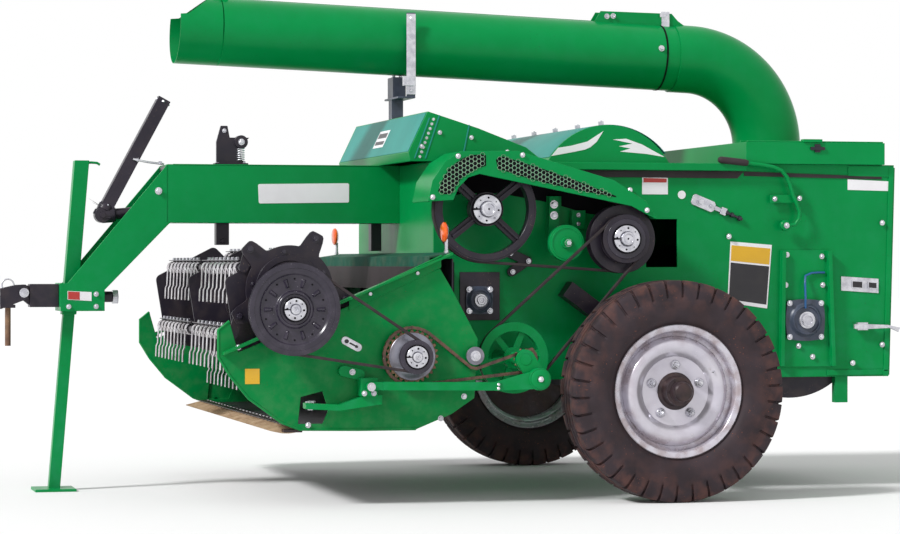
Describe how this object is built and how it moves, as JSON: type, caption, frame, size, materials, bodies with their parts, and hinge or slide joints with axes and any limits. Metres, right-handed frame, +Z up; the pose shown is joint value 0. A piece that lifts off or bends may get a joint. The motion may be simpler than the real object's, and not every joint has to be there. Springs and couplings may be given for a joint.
{
  "type": "trailed straw reaper",
  "caption": "Trailed straw reaper with a cutting header and tined reel, side belt drive, chopping body, parking leg and a long swinging chute over the drawbar.",
  "frame": {"origin": "on the ground at the middle of the machine's length and width", "axes": "-X towards the hitch, -Y towards the belt-drive side, +Z up"},
  "size_m": [3.9, 2.46, 2.2126],
  "materials": {
    "tyre": "dusty",
    "silver_paint": "satin, dusty",
    "green_paint": "gloss",
    "black_paint": "satin",
    "galvanised_steel": "satin",
    "worn_steel": "rusty",
    "belt_rubber": "matte",
    "amber_plastic": "gloss"
  },
  "bodies": {
    "chassis": {"axle": "black_paint", "beam_posts": "black_paint", "bearings": "black_paint", "belt_guard": "green_paint", "belt_idler": "green_paint", "body_shell": "green_paint", "body_side_left": "green_paint", "body_side_right": "green_paint", "chute_cradle": "green_paint", "crank_wheel": "green_paint", "cutter_bar": "worn_steel", "drawbar": "green_paint", "drive_shaft": "black_paint", "drum_hood": "green_paint", "fan_housing": "black_paint", "feed_chain": "worn_steel", "hand_control": "black_paint", "header_deck": "green_paint", "header_side_left": "green_paint", "header_side_right": "green_paint", "header_trough": "black_paint", "knife_belt": "belt_rubber", "line_shaft": "black_paint", "main_belt": "belt_rubber", "pitman": "green_paint", "rear_lid": "green_paint", "rear_stub": "black_paint", "reel_belt": "belt_rubber", "reel_eccentric": "black_paint", "reflectors": "amber_plastic", "rocker": "green_paint", "round_cover": "green_paint", "side_fittings": "galvanised_steel", "side_lever": "green_paint", "stand_post": "green_paint", "take_up": "galvanised_steel", "tension_bracket": "black_paint"},
    "wheel_left": {"tyre_left": "tyre", "rim_left": "silver_paint"},
    "wheel_right": {"tyre_right": "tyre", "rim_right": "silver_paint"},
    "reel": {"reel_core": "black_paint"},
    "star": {"reel_star": "black_paint"},
    "feeder": {"feed_auger": "black_paint", "feed_wheels": "silver_paint"},
    "drum_drive": {"drum_wheel": "black_paint"},
    "jack_drive": {"jack_wheel": "black_paint"},
    "chute": {"chute_elbow": "green_paint", "chute_tube": "green_paint"},
    "spout": {"chute_spout": "green_paint"},
    "back_door": {"rear_door": "green_paint"},
    "leg": {"stand_leg": "galvanised_steel"},
    "hitch": {"hitch_swivel": "green_paint", "hitch_jaw": "worn_steel", "drop_pin": "galvanised_steel"},
    "bat_1": {"bat_1": "black_paint"},
    "bat_2": {"bat_2": "black_paint"},
    "bat_3": {"bat_3": "black_paint"},
    "bat_4": {"bat_4": "black_paint"},
    "bat_5": {"bat_5": "black_paint"}
  },
  "joints": [
    {"name": "wheel_left_spin", "type": "hinge", "parent": "chassis", "child": "wheel_left", "pos_m": [0.76, -1.07, 0.465], "axis": [0, 1, 0], "continuous": true},
    {"name": "wheel_right_spin", "type": "hinge", "parent": "chassis", "child": "wheel_right", "pos_m": [0.76, 1.07, 0.465], "axis": [0, 1, 0], "continuous": true},
    {"name": "reel_spin", "type": "hinge", "parent": "chassis", "child": "reel", "pos_m": [-0.878, 0, 0.814], "axis": [0, 1, 0], "continuous": true},
    {"name": "star_spin", "type": "hinge", "parent": "chassis", "child": "star", "pos_m": [-0.856, -0.949, 0.891], "axis": [0, 1, 0], "continuous": true},
    {"name": "feeder_spin", "type": "hinge", "parent": "chassis", "child": "feeder", "pos_m": [-0.37, 0, 0.618], "axis": [0, 1, 0], "continuous": true},
    {"name": "drum_spin", "type": "hinge", "parent": "chassis", "child": "drum_drive", "pos_m": [0.002, -0.862, 1.228], "axis": [0, 1, 0], "continuous": true},
    {"name": "jack_spin", "type": "hinge", "parent": "chassis", "child": "jack_drive", "pos_m": [0.604, -0.862, 1.104], "axis": [0, 1, 0], "continuous": true},
    {"name": "chute_swing", "type": "hinge", "parent": "chassis", "child": "chute", "pos_m": [1.613, 0, 1.5323], "axis": [0, 0, -1], "range_deg": [0, 180]},
    {"name": "door_lift", "type": "hinge", "parent": "chassis", "child": "back_door", "pos_m": [1.928, 0, 1.422], "axis": [0, -1, 0], "range_deg": [0, 80]},
    {"name": "leg_slide", "type": "slide", "parent": "chassis", "child": "leg", "axis": [0.0837, 0, 0.9965], "range_m": [0, 0.5]},
    {"name": "hitch_roll", "type": "hinge", "parent": "chassis", "child": "hitch", "pos_m": [-1.76, 0, 0.853], "axis": [1, 0, 0], "range_deg": [-20, 20]},
    {"name": "spout_tilt", "type": "hinge", "parent": "chute", "child": "spout", "pos_m": [-0.96579, 0, 2.19012], "axis": [0, 1, 0], "range_deg": [0, 35]},
    {"name": "bat_1_turn", "type": "hinge", "parent": "reel", "child": "bat_1", "pos_m": [-0.77012, 0, 1.0239], "axis": [0, 1, 0], "continuous": true},
    {"name": "bat_2_turn", "type": "hinge", "parent": "reel", "child": "bat_2", "pos_m": [-1.04429, 0, 0.98146], "axis": [0, 1, 0], "continuous": true},
    {"name": "bat_3_turn", "type": "hinge", "parent": "reel", "child": "bat_3", "pos_m": [-1.08865, 0, 0.70759], "axis": [0, 1, 0], "continuous": true},
    {"name": "bat_4_turn", "type": "hinge", "parent": "reel", "child": "bat_4", "pos_m": [-0.84189, 0, 0.58078], "axis": [0, 1, 0], "continuous": true},
    {"name": "bat_5_turn", "type": "hinge", "parent": "reel", "child": "bat_5", "pos_m": [-0.64504, 0, 0.77627], "axis": [0, 1, 0], "continuous": true}
  ],
  "couplings": [
    {"joint": "bat_1_turn", "follows": "reel_spin", "ratio": -1},
    {"joint": "bat_2_turn", "follows": "reel_spin", "ratio": -1},
    {"joint": "bat_3_turn", "follows": "reel_spin", "ratio": -1},
    {"joint": "bat_4_turn", "follows": "reel_spin", "ratio": -1},
    {"joint": "bat_5_turn", "follows": "reel_spin", "ratio": -1},
    {"joint": "star_spin", "follows": "reel_spin", "ratio": 1},
    {"joint": "feeder_spin", "follows": "reel_spin", "ratio": 3.0714},
    {"joint": "jack_spin", "follows": "drum_spin", "ratio": 1.6364}
  ]
}
